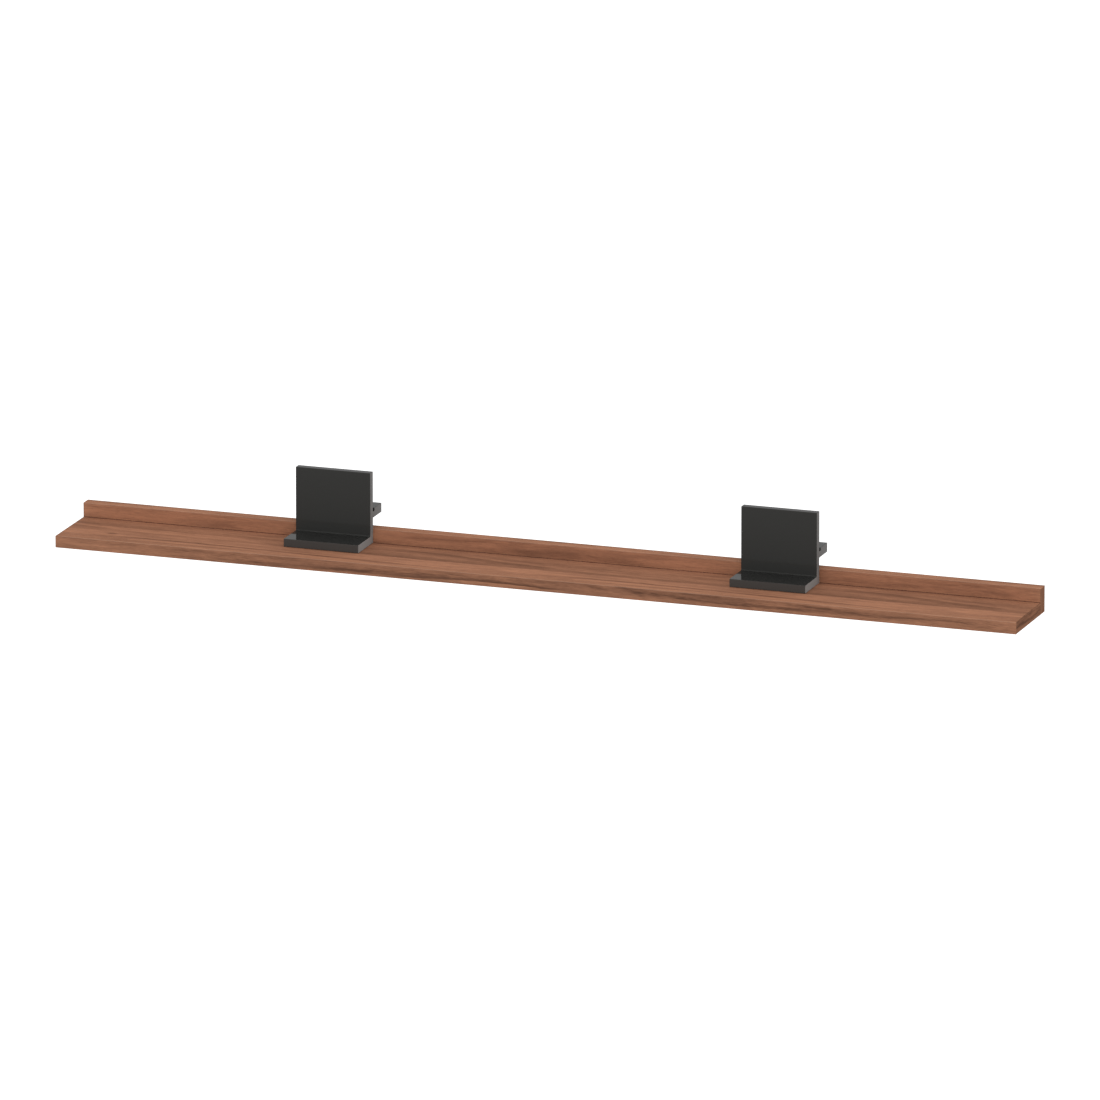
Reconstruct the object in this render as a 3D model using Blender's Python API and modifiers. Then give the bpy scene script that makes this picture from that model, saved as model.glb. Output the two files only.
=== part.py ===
"""A wall-hung bathroom shelf: a walnut decor board with an upstand, carried by two metal brackets.

Each bracket is one extruded profile. Its flange is screwed down on the board, its plate stands in
front of the upstand, and its hook arm reaches back over the upstand into the rail on the wall.

Metres, +X to the right along the shelf, +Y towards the wall and +Z up. The origin is the middle of
the upstand's back face, which lies against the wall.
"""

import math

import bmesh
import bpy
from mathutils import Matrix, Vector

MM = 0.001

# Board and upstand
SHELF_LENGTH = 1500 * MM
SHELF_DEPTH = 137 * MM
BOARD_THICKNESS = 18 * MM
UPSTAND_HEIGHT = 40 * MM
UPSTAND_THICKNESS = 19 * MM

# Edge bands
BAND_THICKNESS = 1 * MM
BAND_ROUNDING = 0.5 * MM

# Brackets, from middle to middle along the shelf, and the profile that both are cut from
BRACKET_SPACING = 698 * MM
BRACKET_WIDTH = 117.5 * MM
FLANGE_DEPTH = 65 * MM
FLANGE_THICKNESS = 12 * MM
PLATE_THICKNESS = 12 * MM
PLATE_OVER_ARM = 57 * MM
ARM_OVER_UPSTAND = 16.5 * MM
ARM_HEIGHT = 14 * MM
ARM_REACH = 37 * MM
GROOVE_WIDTH = 6 * MM
GROOVE_DEPTH = 4.5 * MM
INNER_FILLET = 2 * MM
GROOVE_FILLET = 0.5 * MM
CORNER_ROUNDING = 0.4 * MM

# Countersunk machine screws, up through the board into each flange
SCREW_RADIUS = 3 * MM
SCREW_HEAD_RADIUS = 6 * MM
SCREW_HEAD_RIM = 0.4 * MM
SCREW_TIP_CHAMFER = 0.6 * MM
SCREW_HEAD_SINK = 0.3 * MM
HEX_KEY_SIZE = 4 * MM
HEX_KEY_DEPTH = 2.2 * MM
SCREW_FROM_BRACKET_END = 18.75 * MM
SCREW_FROM_FLANGE_EDGE = 11.5 * MM
METAL_OVER_THREAD = 3.5 * MM
THREAD_RUN_OUT = 1.8 * MM

# Wooden dowels between board and upstand
DOWEL_RADIUS = 4 * MM
DOWEL_LENGTH = 25 * MM
DOWEL_CHAMFER = 0.8 * MM
DOWEL_SPACING = 128 * MM
DOWEL_FROM_SHELF_END = 60 * MM
BORE_END_ROOM = 0.5 * MM
WOOD_BEHIND_BORE = 6.5 * MM

# Gap between two faces or round surfaces that are glued, screwed or seated on each other
SEAT_GAP = 0.3 * MM

# How a shape is cut and divided
CUTTER_OVERRUN = 1 * MM
SAME_PLACE = 0.001 * MM
ROUND_STEPS = 24
FILLET_STEPS = 4
BAND_ROUNDING_STEPS = 2

# Planes that neighbouring pieces share
SHELF_BOTTOM = -UPSTAND_HEIGHT / 2
BOARD_TOP = SHELF_BOTTOM + BOARD_THICKNESS
BOARD_MIDDLE = (SHELF_BOTTOM + BOARD_TOP) / 2
SHELF_TOP = UPSTAND_HEIGHT / 2
SHELF_END = SHELF_LENGTH / 2
SHELF_FRONT = -SHELF_DEPTH
UPSTAND_FRONT = -UPSTAND_THICKNESS
BOARD_BACK = UPSTAND_FRONT - SEAT_GAP
BAND_AND_GAP = BAND_THICKNESS + SEAT_GAP
PLATE_BACK = UPSTAND_FRONT - SEAT_GAP
BRACKET_BOTTOM = BOARD_TOP + SEAT_GAP
ARM_BOTTOM = SHELF_TOP + ARM_OVER_UPSTAND

# The low and the high side of a box along X, Y and Z
AXIS_SIDES = (("left", "right"), ("front", "back"), ("bottom", "top"))


def clear_scene():
    """Remove every object, so that the shelf stands alone."""
    for scene_object in list(bpy.data.objects):
        bpy.data.objects.remove(scene_object, do_unlink=True)


def make_collection(name):
    """Return a new collection, linked into the scene."""
    collection = bpy.data.collections.new(name)
    bpy.context.scene.collection.children.link(collection)
    return collection


def make_material(name, color, roughness, metallic=0.0):
    """Return a plain Principled material."""
    material = bpy.data.materials.new(name)
    material.use_nodes = True
    material.diffuse_color = (*color, 1.0)
    shader = material.node_tree.nodes["Principled BSDF"]
    shader.inputs["Base Color"].default_value = (*color, 1.0)
    shader.inputs["Roughness"].default_value = roughness
    shader.inputs["Metallic"].default_value = metallic
    return material


def make_object(name, data, collection, parent, place=(0, 0, 0), material=None):
    """Link a mesh or curve into the scene as one named object under its parent."""
    new_object = bpy.data.objects.new(name, data)
    collection.objects.link(new_object)
    new_object.parent = parent
    new_object.location = place
    if material:
        data.materials.append(material)
    return new_object


def make_empty(name, parent, place=(0, 0, 0)):
    """Return an empty that carries pieces."""
    return make_object(name, None, PARTS, parent, place)


def shade_round(mesh):
    """Shade round surfaces smooth and keep their rims sharp."""
    mesh.shade_smooth()
    mesh.set_sharp_from_angle(angle=math.radians(35))


def make_cutter(name, data, parent, place):
    """Return an object that only cuts others."""
    cutter = make_object(name, data, CUTTERS, parent, place)
    cutter.hide_render = True
    cutter.display_type = "WIRE"
    return cutter


def cut(piece, cutter):
    """Take the cutter's shape out of the piece."""
    boolean = piece.modifiers.new("cut by " + cutter.name, "BOOLEAN")
    boolean.operation = "DIFFERENCE"
    boolean.solver = "EXACT"
    boolean.object = cutter


def repeat(piece, count, step):
    """Repeat the piece along one line, each copy one step on from the last."""
    array = piece.modifiers.new("repeat", "ARRAY")
    array.use_relative_offset = False
    array.use_constant_offset = True
    array.constant_offset_displace = step
    array.count = count


def axis_and_direction(side):
    """Return the axis that the named side faces along, and 1 or -1 for its direction there."""
    axis = next(index for index, pair in enumerate(AXIS_SIDES) if side in pair)
    low_side = AXIS_SIDES[axis][0]
    return axis, -1 if side == low_side else 1


def lies_on(edge_middle, half_size, side):
    """Tell whether a point of a box about the origin lies on the named side."""
    axis, direction = axis_and_direction(side)
    return abs(edge_middle[axis] - direction * half_size[axis]) < SAME_PLACE


def round_box_edges(box, half_size, rounded):
    """Bevel the edges that are named by their two sides, such as 'front top'."""
    weights = box.data.attributes.new("bevel_weight_edge", "FLOAT", "EDGE")
    for edge in box.data.edges:
        first, second = (box.data.vertices[index].co for index in edge.vertices)
        middle = (first + second) / 2
        picked = any(all(lies_on(middle, half_size, side) for side in pair.split()) for pair in rounded)
        weights.data[edge.index].value = 1.0 if picked else 0.0
    bevel = box.modifiers.new("rounded edges", "BEVEL")
    bevel.limit_method = "WEIGHT"
    bevel.width = BAND_ROUNDING
    bevel.segments = BAND_ROUNDING_STEPS


def make_box(name, x_range, y_range, z_range, material, rounded=()):
    """Return a box between two limits on each axis, with the named edges rounded."""
    low, high = (Vector(corner) for corner in zip(x_range, y_range, z_range))
    mesh = bpy.data.meshes.new(name)
    shape = bmesh.new()
    bmesh.ops.create_cube(shape, size=1.0, matrix=Matrix.Diagonal((*(high - low), 1.0)))
    shape.to_mesh(mesh)
    shape.free()
    box = make_object(name, mesh, PARTS, SHELF, (low + high) / 2, material)
    if rounded:
        round_box_edges(box, (high - low) / 2, rounded)
    return box


def cylinder_mesh(name, radius, length, axis_turn, steps=ROUND_STEPS):
    """Return a closed cylinder about the origin, turned from Z to its axis."""
    mesh = bpy.data.meshes.new(name)
    shape = bmesh.new()
    bmesh.ops.create_cone(
        shape, cap_ends=True, segments=steps, radius1=radius, radius2=radius, depth=length, matrix=axis_turn
    )
    shape.to_mesh(mesh)
    shape.free()
    shade_round(mesh)
    return mesh


def profile_mesh(name, profile):
    """Return the open line through (radius, height) points that a turned piece starts from."""
    mesh = bpy.data.meshes.new(name)
    points = [(radius, 0.0, height) for radius, height in profile]
    mesh.from_pydata(points, [(index, index + 1) for index in range(len(points) - 1)], [])
    return mesh


def turn(piece):
    """Turn a profile about the vertical axis into a closed round piece."""
    screw = piece.modifiers.new("turned", "SCREW")
    screw.axis = "Z"
    screw.angle = math.tau
    screw.screw_offset = 0.0
    screw.steps = ROUND_STEPS
    screw.render_steps = ROUND_STEPS
    screw.use_merge_vertices = True
    screw.merge_threshold = SAME_PLACE


def rounded_outline(corners):
    """Return outline points, with an arc of the given radius at each (x, y, radius) corner."""
    points = []
    for index, (x, y, radius) in enumerate(corners):
        corner = Vector((x, y))
        before = (Vector(corners[index - 1][:2]) - corner).normalized()
        after = (Vector(corners[(index + 1) % len(corners)][:2]) - corner).normalized()
        centre = corner + (before + after) * radius
        start = corner + before * radius - centre
        end = corner + after * radius - centre
        turn_angle = start.angle_signed(end)
        for step in range(FILLET_STEPS + 1):
            points.append(centre + Matrix.Rotation(-turn_angle * step / FILLET_STEPS, 2) @ start)
    return points


def extruded_curve(name, outline, width):
    """Return a filled flat outline, extruded to both sides of its own plane."""
    curve = bpy.data.curves.new(name, "CURVE")
    curve.dimensions = "2D"
    curve.fill_mode = "BOTH"
    curve.extrude = width / 2
    spline = curve.splines.new("POLY")
    spline.points.add(len(outline) - 1)
    for point, (x, y) in zip(spline.points, outline):
        point.co = (x, y, 0.0, 1.0)
    spline.use_cyclic_u = True
    return curve


def baked_mesh(source):
    """Return the object's shape with its modifiers, as a mesh with welded points, and remove the object."""
    bpy.context.view_layer.update()
    evaluated = source.evaluated_get(bpy.context.evaluated_depsgraph_get())
    mesh = bpy.data.meshes.new_from_object(evaluated)
    shape = bmesh.new()
    shape.from_mesh(mesh)
    bmesh.ops.remove_doubles(shape, verts=shape.verts, dist=SAME_PLACE)
    shape.to_mesh(mesh)
    shape.free()
    mesh.materials.clear()
    bpy.data.objects.remove(source, do_unlink=True)
    shade_round(mesh)
    return mesh


def end_band_range(side):
    """Return the x limits of a band on the left or the right end."""
    direction = axis_and_direction(side)[1]
    return sorted((direction * SHELF_END, direction * (SHELF_END - BAND_THICKNESS)))


def make_board():
    """The decor-faced chipboard that things stand on, with bands on its front and its two ends."""
    between_bands = (-SHELF_END + BAND_AND_GAP, SHELF_END - BAND_AND_GAP)
    depth = (SHELF_FRONT + BAND_AND_GAP, BOARD_BACK)
    height = (SHELF_BOTTOM, BOARD_TOP)
    board = make_box("shelf_board", between_bands, depth, height, DECOR)

    front_depth = (SHELF_FRONT, SHELF_FRONT + BAND_THICKNESS)
    front_edges = ("front top", "front bottom", "front left", "front right")
    make_box("front_edge_band", (-SHELF_END, SHELF_END), front_depth, height, EDGE_BAND, front_edges)
    for side in ("left", "right"):
        edges = (side + " top", side + " bottom")
        make_box(f"board_{side}_end_band", end_band_range(side), depth, height, EDGE_BAND, edges)
    return board


def make_upstand():
    """The strip behind the board that keeps things from the wall, with bands on all four edges."""
    whole_length = (-SHELF_END, SHELF_END)
    between_bands = (-SHELF_END + BAND_AND_GAP, SHELF_END - BAND_AND_GAP)
    depth = (UPSTAND_FRONT, 0.0)
    height = (SHELF_BOTTOM + BAND_AND_GAP, SHELF_TOP - BAND_AND_GAP)
    upstand = make_box("upstand", between_bands, depth, height, DECOR)

    top_height = (SHELF_TOP - BAND_THICKNESS, SHELF_TOP)
    top_edges = ("top front", "top back", "top left", "top right")
    make_box("upstand_top_band", whole_length, depth, top_height, EDGE_BAND, top_edges)
    bottom_height = (SHELF_BOTTOM, SHELF_BOTTOM + BAND_THICKNESS)
    bottom_edges = ("bottom back", "bottom left", "bottom right")
    make_box("upstand_bottom_band", whole_length, depth, bottom_height, EDGE_BAND, bottom_edges)
    for side in ("left", "right"):
        edges = (side + " front", side + " back")
        make_box(f"upstand_{side}_end_band", end_band_range(side), depth, height, EDGE_BAND, edges)
    return upstand


def dowel_mesh(along_y):
    """Return one beech dowel with chamfered ends."""
    cylinder = cylinder_mesh("dowel", DOWEL_RADIUS, DOWEL_LENGTH, along_y)
    dowel = make_object("dowel", cylinder, PARTS, SHELF)
    bevel = dowel.modifiers.new("chamfered ends", "BEVEL")
    bevel.limit_method = "ANGLE"
    bevel.angle_limit = math.radians(60)
    bevel.width = DOWEL_CHAMFER
    bevel.segments = 1
    mesh = baked_mesh(dowel)
    mesh.materials.append(BEECH)
    return mesh


def make_dowels(board, upstand):
    """The row of glued dowels that joins the board's back edge to the upstand."""
    pairs = math.floor((SHELF_END - DOWEL_FROM_SHELF_END) / DOWEL_SPACING)
    count = 2 * pairs + 1
    along_y = Matrix.Rotation(math.pi / 2, 4, "X")
    dowel_middle = -WOOD_BEHIND_BORE - BORE_END_ROOM - DOWEL_LENGTH / 2
    first = Vector((-pairs * DOWEL_SPACING, dowel_middle, BOARD_MIDDLE))
    step = Vector((DOWEL_SPACING, 0.0, 0.0))

    mesh = dowel_mesh(along_y)
    for index in range(count):
        make_object(f"joint_dowel_{index + 1:02d}", mesh, PARTS, SHELF, first + index * step)

    bore = cylinder_mesh("dowel_bores", DOWEL_RADIUS + SEAT_GAP, DOWEL_LENGTH + 2 * BORE_END_ROOM, along_y)
    bores = make_cutter("dowel_bores", bore, SHELF, first)
    repeat(bores, count, step)
    cut(board, bores)
    cut(upstand, bores)


def bracket_outline():
    """The bracket's profile: x from the plate's back, y from the flange's underside."""
    arm_bottom = ARM_BOTTOM - BRACKET_BOTTOM
    arm_top = arm_bottom + ARM_HEIGHT
    groove_floor = arm_top - GROOVE_DEPTH
    plate_top = arm_top + PLATE_OVER_ARM
    return rounded_outline(
        (
            (-FLANGE_DEPTH, 0.0, CORNER_ROUNDING),
            (0.0, 0.0, CORNER_ROUNDING),
            (0.0, arm_bottom, INNER_FILLET),
            (ARM_REACH, arm_bottom, CORNER_ROUNDING),
            (ARM_REACH, arm_top, CORNER_ROUNDING),
            (GROOVE_WIDTH, arm_top, CORNER_ROUNDING),
            (GROOVE_WIDTH, groove_floor, GROOVE_FILLET),
            (0.0, groove_floor, GROOVE_FILLET),
            (0.0, plate_top, CORNER_ROUNDING),
            (-PLATE_THICKNESS, plate_top, CORNER_ROUNDING),
            (-PLATE_THICKNESS, FLANGE_THICKNESS, INNER_FILLET),
            (-FLANGE_DEPTH, FLANGE_THICKNESS, CORNER_ROUNDING),
        )
    )


def make_bracket(name, support):
    """One bracket, cut from the extruded profile, with its origin at the foot of the plate's back."""
    curve = extruded_curve(name, bracket_outline(), BRACKET_WIDTH)
    profile = make_object(name, curve, PARTS, support, (0.0, PLATE_BACK, BRACKET_BOTTOM))
    profile.rotation_euler = (math.pi / 2, 0.0, math.pi / 2)
    bpy.context.view_layer.update()
    placement = profile.matrix_world.copy()
    mesh = baked_mesh(profile)
    bracket = make_object(name, mesh, PARTS, support, material=BRACKET_PAINT)
    bracket.matrix_world = placement
    return bracket


def screw_lengths():
    """Return the screw's whole length and the height where its countersunk cone ends."""
    grip = FLANGE_THICKNESS - METAL_OVER_THREAD - THREAD_RUN_OUT
    length = BRACKET_BOTTOM + grip - SCREW_HEAD_SINK - SHELF_BOTTOM
    cone_top = SCREW_HEAD_RIM + SCREW_HEAD_RADIUS - SCREW_RADIUS
    return length, cone_top


def screw_mesh():
    """Return one countersunk screw, head down, with its origin in the middle of the head's face."""
    length, cone_top = screw_lengths()
    outline = [
        (0.0, length),
        (SCREW_RADIUS - SCREW_TIP_CHAMFER, length),
        (SCREW_RADIUS, length - SCREW_TIP_CHAMFER),
        (SCREW_RADIUS, cone_top),
        (SCREW_HEAD_RADIUS, SCREW_HEAD_RIM),
        (SCREW_HEAD_RADIUS, 0.0),
        (0.0, 0.0),
    ]
    screw = make_object("screw", profile_mesh("screw", outline), PARTS, SHELF)
    turn(screw)
    corner_radius = HEX_KEY_SIZE / math.sqrt(3)
    hexagon = cylinder_mesh("hexagon_key", corner_radius, 2 * HEX_KEY_DEPTH, Matrix(), steps=6)
    key = make_cutter("hexagon_key", hexagon, SHELF, (0.0, 0.0, 0.0))
    cut(screw, key)
    mesh = baked_mesh(screw)
    mesh.materials.append(SCREW_STEEL)
    bpy.data.objects.remove(key, do_unlink=True)
    return mesh


def screw_spacing():
    """Return how far a bracket's screws stand apart, across the bracket and over its depth."""
    across = BRACKET_WIDTH - 2 * SCREW_FROM_BRACKET_END
    deep = FLANGE_DEPTH - PLATE_THICKNESS - 2 * SCREW_FROM_FLANGE_EDGE
    return across, deep


def bracket_screw_places():
    """Return where the heads of a bracket's four screws lie, from the bracket's middle."""
    across, deep = screw_spacing()
    front_row = PLATE_BACK - FLANGE_DEPTH + SCREW_FROM_FLANGE_EDGE
    head_face = SHELF_BOTTOM + SCREW_HEAD_SINK
    rows = (front_row, front_row + deep)
    return [Vector((x, y, head_face)) for y in rows for x in (-across / 2, across / 2)]


def repeat_as_screws(cutter):
    """Repeat a cutter from the first of a bracket's screws to the other three."""
    across, deep = screw_spacing()
    repeat(cutter, 2, (across, 0.0, 0.0))
    repeat(cutter, 2, (0.0, deep, 0.0))


def make_screw_holes(side, support, board, bracket):
    """Countersunk clearance holes through the board, and threaded holes in the flange above them."""
    cone_top = screw_lengths()[1]
    first = bracket_screw_places()[0]
    clearance_radius = SCREW_RADIUS + SEAT_GAP
    sink_radius = SCREW_HEAD_RADIUS + SEAT_GAP
    countersink = [
        (0.0, BOARD_THICKNESS + CUTTER_OVERRUN),
        (clearance_radius, BOARD_THICKNESS + CUTTER_OVERRUN),
        (clearance_radius, SCREW_HEAD_SINK + cone_top),
        (sink_radius, SCREW_HEAD_SINK + SCREW_HEAD_RIM),
        (sink_radius, -CUTTER_OVERRUN),
        (0.0, -CUTTER_OVERRUN),
    ]
    name = side + "_board_holes"
    board_holes = make_cutter(name, profile_mesh(name, countersink), support, (first.x, first.y, SHELF_BOTTOM))
    turn(board_holes)
    repeat_as_screws(board_holes)
    cut(board, board_holes)

    hole_top = FLANGE_THICKNESS - METAL_OVER_THREAD
    hole_length = hole_top + CUTTER_OVERRUN
    hole_middle = BRACKET_BOTTOM + hole_top - hole_length / 2
    name = side + "_flange_holes"
    hole = cylinder_mesh(name, clearance_radius, hole_length, Matrix())
    flange_holes = make_cutter(name, hole, support, (first.x, first.y, hole_middle))
    repeat_as_screws(flange_holes)
    cut(bracket, flange_holes)


def make_support(side, direction, board, shared_screw):
    """One bracket with its four screws, carried by an empty in the bracket's middle plane."""
    support = make_empty(side + "_support", SHELF, (direction * BRACKET_SPACING / 2, 0.0, 0.0))
    bracket = make_bracket(side + "_bracket", support)
    for index, place in enumerate(bracket_screw_places()):
        make_object(f"{side}_bracket_screw_{index + 1}", shared_screw, PARTS, support, place)
    make_screw_holes(side, support, board, bracket)


clear_scene()
PARTS = make_collection("bathroom_shelf")
CUTTERS = make_collection("bathroom_shelf_cutters")

DECOR = make_material("walnut decor", (0.30, 0.145, 0.088), 0.45)
EDGE_BAND = make_material("walnut edge band", (0.29, 0.140, 0.084), 0.42)
BEECH = make_material("beech", (0.60, 0.42, 0.26), 0.60)
BRACKET_PAINT = make_material("anthracite powder coat", (0.030, 0.030, 0.029), 0.35, 0.2)
SCREW_STEEL = make_material("blackened steel", (0.045, 0.045, 0.048), 0.38, 0.9)

SHELF = make_empty("shelf_frame", None)
shelf_board = make_board()
shelf_upstand = make_upstand()
make_dowels(shelf_board, shelf_upstand)
bracket_screw = screw_mesh()
make_support("left", -1, shelf_board, bracket_screw)
make_support("right", 1, shelf_board, bracket_screw)
bpy.context.view_layer.update()
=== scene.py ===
# The looks of a wall-hung bathroom shelf: walnut decor, painted bracket profiles and a white studio.
# Metres, +X to the right along the shelf, +Y towards the wall, +Z up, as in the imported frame.

import math

import bmesh
import bpy
from mathutils import Matrix, Vector


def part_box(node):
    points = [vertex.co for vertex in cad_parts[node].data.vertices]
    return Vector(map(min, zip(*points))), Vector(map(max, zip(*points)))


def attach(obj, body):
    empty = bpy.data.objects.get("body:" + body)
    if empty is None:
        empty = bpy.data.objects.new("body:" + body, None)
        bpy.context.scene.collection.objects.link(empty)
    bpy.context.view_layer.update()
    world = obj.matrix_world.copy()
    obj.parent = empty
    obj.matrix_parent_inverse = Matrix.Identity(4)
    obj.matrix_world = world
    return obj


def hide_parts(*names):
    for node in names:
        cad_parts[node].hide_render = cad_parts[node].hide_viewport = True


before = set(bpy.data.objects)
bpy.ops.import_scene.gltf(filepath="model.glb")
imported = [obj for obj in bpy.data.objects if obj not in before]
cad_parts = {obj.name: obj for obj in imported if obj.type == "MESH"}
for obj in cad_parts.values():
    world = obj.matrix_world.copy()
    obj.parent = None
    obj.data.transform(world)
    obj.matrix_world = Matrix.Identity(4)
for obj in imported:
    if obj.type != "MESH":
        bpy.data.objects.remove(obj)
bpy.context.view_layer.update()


# Shelf board
# A sheet of chipboard with a printed walnut decor pressed on both faces, cut to length. The print
# repeats along the board, and the cuts and holes show the bare core. The brackets stand on its top.

DECOR_REPEAT = 0.700
DECOR_LIGHT = (0.462, 0.216, 0.126)
DECOR_DARK = (0.118, 0.056, 0.035)
DECOR_GREY = (0.200, 0.096, 0.060)
DECOR_ROUGHNESS = 0.55
DECOR_GLOSS = 0.004
# A seed picks one random pattern. Each piece has its own, and each part of its print adds another to it.
BOARD_SEED = 11.0
BOARD_TONE = 0.51
# The layers of the grain, coarse to fine: the length and width of the streaks, and their strength.
GRAIN_LAYERS = (
    (0.180, 0.0150, 0.80),
    (0.070, 0.0045, 0.40),
    (0.028, 0.0015, 0.72),
    (0.009, 0.0006, 0.85),
)
GRAIN_SEED_STEP = 1.3
GRAIN_DETAIL = 2.0
GRAIN_NOISE_ROUGHNESS = 0.55
BEND_LENGTH = 0.16
BEND_WIDTH = 0.030
BEND_REACH = 0.012
WOBBLE_LENGTH = 0.030
WOBBLE_WIDTH = 0.012
WOBBLE_REACH = 0.003
WOBBLE_SEED = 9.1
VEIN_TAPER_FROM = 0.25
VEIN_FIBRE_LENGTH = 0.020
VEIN_FIBRE_WIDTH = 0.0010
VEIN_FIBRE_STRENGTH = 1.2
VEIN_FIBRE_SEED = 4.4
GREY_LENGTH = 0.12
GREY_WIDTH = 0.012
GREY_FROM = -0.05
GREY_TO = 0.25
GREY_SHARE = 0.5
GREY_SEED = 7.8
PORE_LENGTH = 0.0075
PORE_WIDTH = 0.00042
PORE_FROM = 0.12
PORE_TO = 0.22
PORE_DETAIL = 1.0
PORE_SEED = 6.5
PORE_SHARE = 0.35
PORE_ROUGHNESS = 0.70
PORE_DEPTH = 0.00004
PORE_BUMP = 0.6
CORE_LIGHT = (0.52, 0.37, 0.22)
CORE_DARK = (0.26, 0.16, 0.085)
CORE_CHIP_SIZE = 0.0024
SHEET_THICKNESS = 0.00025
PLANK_JOINT = 0.049
PLANK_JOINT_FADE = 0.0015
LEFT_PLANK_JOINT = 0.078
LEFT_PLANK_FROM = -0.510
LEFT_PLANK_TO = -0.390
LEFT_PLANK_STEP = 0.18
PLANK_STEP = 0.24
REAR_PAINTED_LIGHT_FROM = 0.084
REAR_PAINTED_LIGHT_FADE = 0.012
REAR_PAINTED_LIGHT_STEP = 0.10
JOINT_GLUE_AND_SHADE_WIDTH = 0.0007
JOINT_GLUE_AND_SHADE_COLOR = (0.150, 0.070, 0.045)
KNOT_PLACE = (-0.675, 0.041)
KNOT_LENGTH = 0.016
KNOT_WIDTH = 0.010
KNOT_CORE = 0.1
KNOT_RIM = 1.6
KNOT_STRENGTH = 0.45


def node(tree, kind, inputs=None, **settings):
    """Add one node, set its properties, and fill or link its inputs."""
    made = tree.nodes.new(kind)
    for name, value in settings.items():
        setattr(made, name, value)
    for socket, value in (inputs or {}).items():
        if isinstance(value, bpy.types.NodeSocket):
            tree.links.new(value, made.inputs[socket])
        else:
            made.inputs[socket].default_value = value
    return made


def calc(tree, operation, *values):
    """Return the result of one Math node."""
    return node(tree, "ShaderNodeMath", dict(enumerate(values)), operation=operation).outputs[0]


def distance_to(tree, value, middle):
    """Return how far a value lies from a middle, to either side of it."""
    return calc(tree, "ABSOLUTE", calc(tree, "SUBTRACT", value, middle))


def blend_color(tree, factor, first, second):
    """Return a colour between two, each given as a socket or as red, green and blue."""
    ends = [end if isinstance(end, bpy.types.NodeSocket) else (*end, 1.0) for end in (first, second)]
    inputs = {"Factor": factor, 6: ends[0], 7: ends[1]}
    return node(tree, "ShaderNodeMix", inputs, data_type="RGBA").outputs[2]


def smooth_range(tree, value, low, high, to_low=0.0, to_high=1.0):
    """Return a smooth step of the value between two limits."""
    inputs = {0: value, 1: low, 2: high, 3: to_low, 4: to_high}
    return node(tree, "ShaderNodeMapRange", inputs, interpolation_type="SMOOTHSTEP").outputs[0]


def new_material(name, roughness, gloss):
    """Return a new material with its tree, its shader and the three object coordinates."""
    material = bpy.data.materials.new(name)
    material.use_nodes = True
    tree = material.node_tree
    shader = tree.nodes["Principled BSDF"]
    shader.inputs["Roughness"].default_value = roughness
    shader.inputs["Specular IOR Level"].default_value = gloss
    place = node(tree, "ShaderNodeTexCoord").outputs["Object"]
    axes = node(tree, "ShaderNodeSeparateXYZ", {0: place}).outputs
    return material, tree, shader, place, axes


def round_print(tree, along, repeat):
    """Return two coordinates on a circle one print repeat long, so that noise on them repeats."""
    turn = calc(tree, "MULTIPLY", along, math.tau / repeat)
    radius = repeat / math.tau
    return [calc(tree, "MULTIPLY", calc(tree, name, turn), radius) for name in ("COSINE", "SINE")]


def streaks(tree, circle, across, length, width, seed, detail=GRAIN_DETAIL):
    """Return noise about zero, drawn out along the grain."""
    inputs = {
        0: calc(tree, "DIVIDE", circle[0], length),
        1: calc(tree, "DIVIDE", circle[1], length),
        2: calc(tree, "DIVIDE", across, width),
    }
    place = node(tree, "ShaderNodeCombineXYZ", inputs).outputs[0]
    inputs = {"Vector": place, "W": seed, "Scale": 1.0, "Detail": detail, "Roughness": GRAIN_NOISE_ROUGHNESS}
    noise = node(tree, "ShaderNodeTexNoise", inputs, noise_dimensions="4D").outputs[0]
    return calc(tree, "SUBTRACT", noise, 0.5)


def vein(tree, along, across, repeat, path, upper_fade, lower_fade):
    """Return 1 on a vein of the print and 0 off it. It runs through the points of its path, fades out over
    one distance above them and another below, and tapers off at both ends."""
    length = path[-1][0] - path[0][0]
    middle = (path[-1][0] + path[0][0]) / 2
    lowest = min(level for _, level in path)
    reach = max(level for _, level in path) - lowest
    offset = calc(tree, "WRAP", calc(tree, "SUBTRACT", along, middle), repeat / 2, -repeat / 2)
    share = calc(tree, "ADD", calc(tree, "DIVIDE", offset, length), 0.5)

    bend = node(tree, "ShaderNodeFloatCurve", {"Value": share})
    curve = bend.mapping.curves[0]
    curve.points[0].location = (0.0, (path[0][1] - lowest) / reach)
    curve.points[1].location = (1.0, (path[-1][1] - lowest) / reach)
    for position, level in path[1:-1]:
        curve.points.new((position - path[0][0]) / length, (level - lowest) / reach)
    bend.mapping.update()

    level = calc(tree, "ADD", calc(tree, "MULTIPLY", bend.outputs[0], reach), lowest)
    distance = calc(tree, "SUBTRACT", across, level)
    above = smooth_range(tree, distance, 0.0, upper_fade, 1.0, 0.0)
    below = smooth_range(tree, distance, -lower_fade, 0.0)
    ends = smooth_range(tree, distance_to(tree, share, 0.5), VEIN_TAPER_FROM, 0.5, 1.0, 0.0)
    return calc(tree, "MULTIPLY", calc(tree, "MULTIPLY", above, below), ends)


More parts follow.
